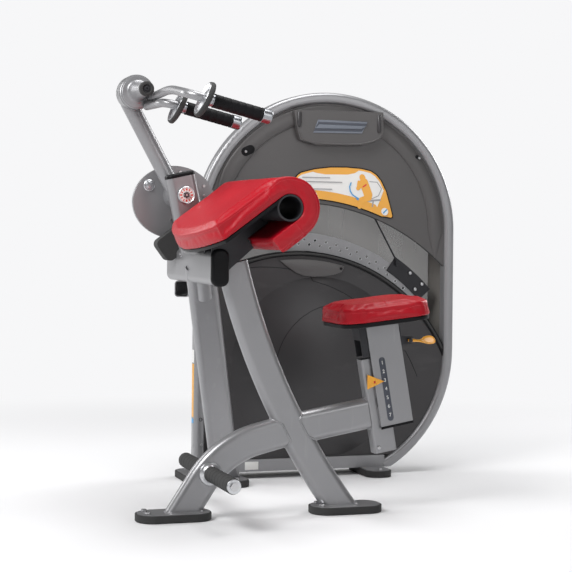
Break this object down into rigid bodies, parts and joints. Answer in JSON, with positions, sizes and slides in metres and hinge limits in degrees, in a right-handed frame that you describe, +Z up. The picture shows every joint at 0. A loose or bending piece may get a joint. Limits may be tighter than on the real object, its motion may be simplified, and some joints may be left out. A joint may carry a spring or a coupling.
{
  "type": "seated triceps press machine",
  "caption": "Seated triceps press machine with elbow pad, swinging handle arm, height-adjustable seat and enclosed rotary weight tower.",
  "frame": {"origin": "centre of the machine's bounding box, on the floor under the feet", "axes": "+X from the front foot towards the user's back, +Y from the user's mid-plane towards the weight tower, +Z up"},
  "size_m": [1.386, 1.166, 1.4155],
  "materials": {
    "frame_paint": "silver metallic powder coat",
    "panel_plastic": "satin textured dark grey",
    "black_plastic": "satin moulded black",
    "black_steel": "black powder coat",
    "rubber": "matt black rubber",
    "red_vinyl": "grained red upholstery vinyl",
    "bright_steel": "zinc plated",
    "chrome_trim": "polished chrome",
    "cast_silver": "satin cast aluminium",
    "yellow_plastic": "glossy yellow-orange",
    "iron_weights": "black enamelled",
    "smoked_panel": "smoked translucent acrylic",
    "placard_print": "printed sheet, no text",
    "knob_plastic": "glossy black knob"
  },
  "bodies": {
    "frame": {"front_leg_tube": "frame_paint", "front_post_tube": "frame_paint", "rear_brace_tube": "frame_paint", "head_cross_tube": "frame_paint", "head_tube_end_cap": "black_plastic", "tower_link_tube": "frame_paint", "arm_stop_bumper": "rubber", "seat_support_tube": "frame_paint", "seat_post": "frame_paint", "foot_pads": "rubber", "foot_plates": "frame_paint", "frame_bolts": "bright_steel", "foot_peg_bar": "bright_steel", "foot_peg_flanges": "bright_steel", "foot_peg_grips": "rubber", "pivot_housing": "frame_paint", "pivot_housing_cap": "black_plastic", "arm_pad_cushion": "red_vinyl", "arm_pad_board": "black_steel", "arm_pad_roll_tube": "black_steel", "arm_pad_bracket": "black_steel", "seat_pointer": "yellow_plastic", "tower_hoop_tube": "frame_paint", "tower_base_beam": "frame_paint", "upper_front_panel": "panel_plastic", "window_trim": "black_plastic", "lower_front_cover": "panel_plastic", "rear_shell": "panel_plastic", "rear_window_panel": "smoked_panel", "nameplate": "panel_plastic", "instruction_placard": "placard_print", "weight_shaft": "bright_steel", "weight_plates": "iron_weights"},
    "exercise_arm": {"pivot_shaft": "bright_steel", "arm_tube": "frame_paint", "arm_hub": "frame_paint", "cam_disc": "frame_paint", "cam_bolts": "bright_steel"},
    "handle_assembly": {"handle_barrel": "frame_paint", "handle_end_ring": "rubber", "near_handle_tube": "frame_paint", "far_handle_tube": "frame_paint", "hand_stops": "cast_silver", "hand_stop_rims": "rubber", "near_hand_grip": "rubber", "far_hand_grip": "rubber", "grip_collars": "chrome_trim"},
    "seat_carriage": {"seat_sleeve": "frame_paint", "seat_sleeve_end_cap": "black_plastic", "seat_bracket": "black_steel", "seat_board": "black_steel", "seat_cushion": "red_vinyl", "lever_bracket": "black_steel"},
    "seat_release_lever": {"seat_lever": "yellow_plastic"},
    "weight_arm": {"selector_arc_plate": "frame_paint", "arc_end_plate": "black_steel", "weight_arm_hub": "black_steel"},
    "lifting_rod": {"pull_rod": "black_steel"},
    "selector_pin_body": {"selector_pin": "knob_plastic"}
  },
  "joints": [
    {"name": "exercise_arm_swing", "type": "hinge", "parent": "frame", "child": "exercise_arm", "pos_m": [-0.465, 0.0435, 1.018], "axis": [0, -1, 0], "range_deg": [0, 95]},
    {"name": "handle_swivel", "type": "hinge", "parent": "exercise_arm", "child": "handle_assembly", "pos_m": [-0.621, 0.1135, 1.358], "axis": [0, -1, 0], "range_deg": [0, 35]},
    {"name": "seat_height", "type": "slide", "parent": "frame", "child": "seat_carriage", "axis": [-0.1736, 0, 0.9848], "range_m": [-0.057, 0.114]},
    {"name": "seat_lever_pull", "type": "hinge", "parent": "seat_carriage", "child": "seat_release_lever", "pos_m": [0.198, -0.3295, 0.553], "axis": [0, -1, 0], "range_deg": [0, 14], "stiffness_Nm_per_rad": 0.6, "springref_deg": -20.05},
    {"name": "weight_arm_swing", "type": "hinge", "parent": "frame", "child": "weight_arm", "pos_m": [0.075, 0.5545, 0.178], "axis": [0, -1, 0], "range_deg": [0, 26]},
    {"name": "lifting_rod_pivot", "type": "hinge", "parent": "weight_arm", "child": "lifting_rod", "pos_m": [0.49018, 0.4955, 0.78208], "axis": [0, -1, 0], "range_deg": [-26, 0]},
    {"name": "selector_pin_pull", "type": "slide", "parent": "weight_arm", "child": "selector_pin_body", "axis": [0, -1, 0], "range_m": [0, 0.016]}
  ],
  "couplings": [
    {"joint": "weight_arm_swing", "follows": "exercise_arm_swing", "ratio": 0.27},
    {"joint": "lifting_rod_pivot", "follows": "exercise_arm_swing", "ratio": -0.27}
  ]
}
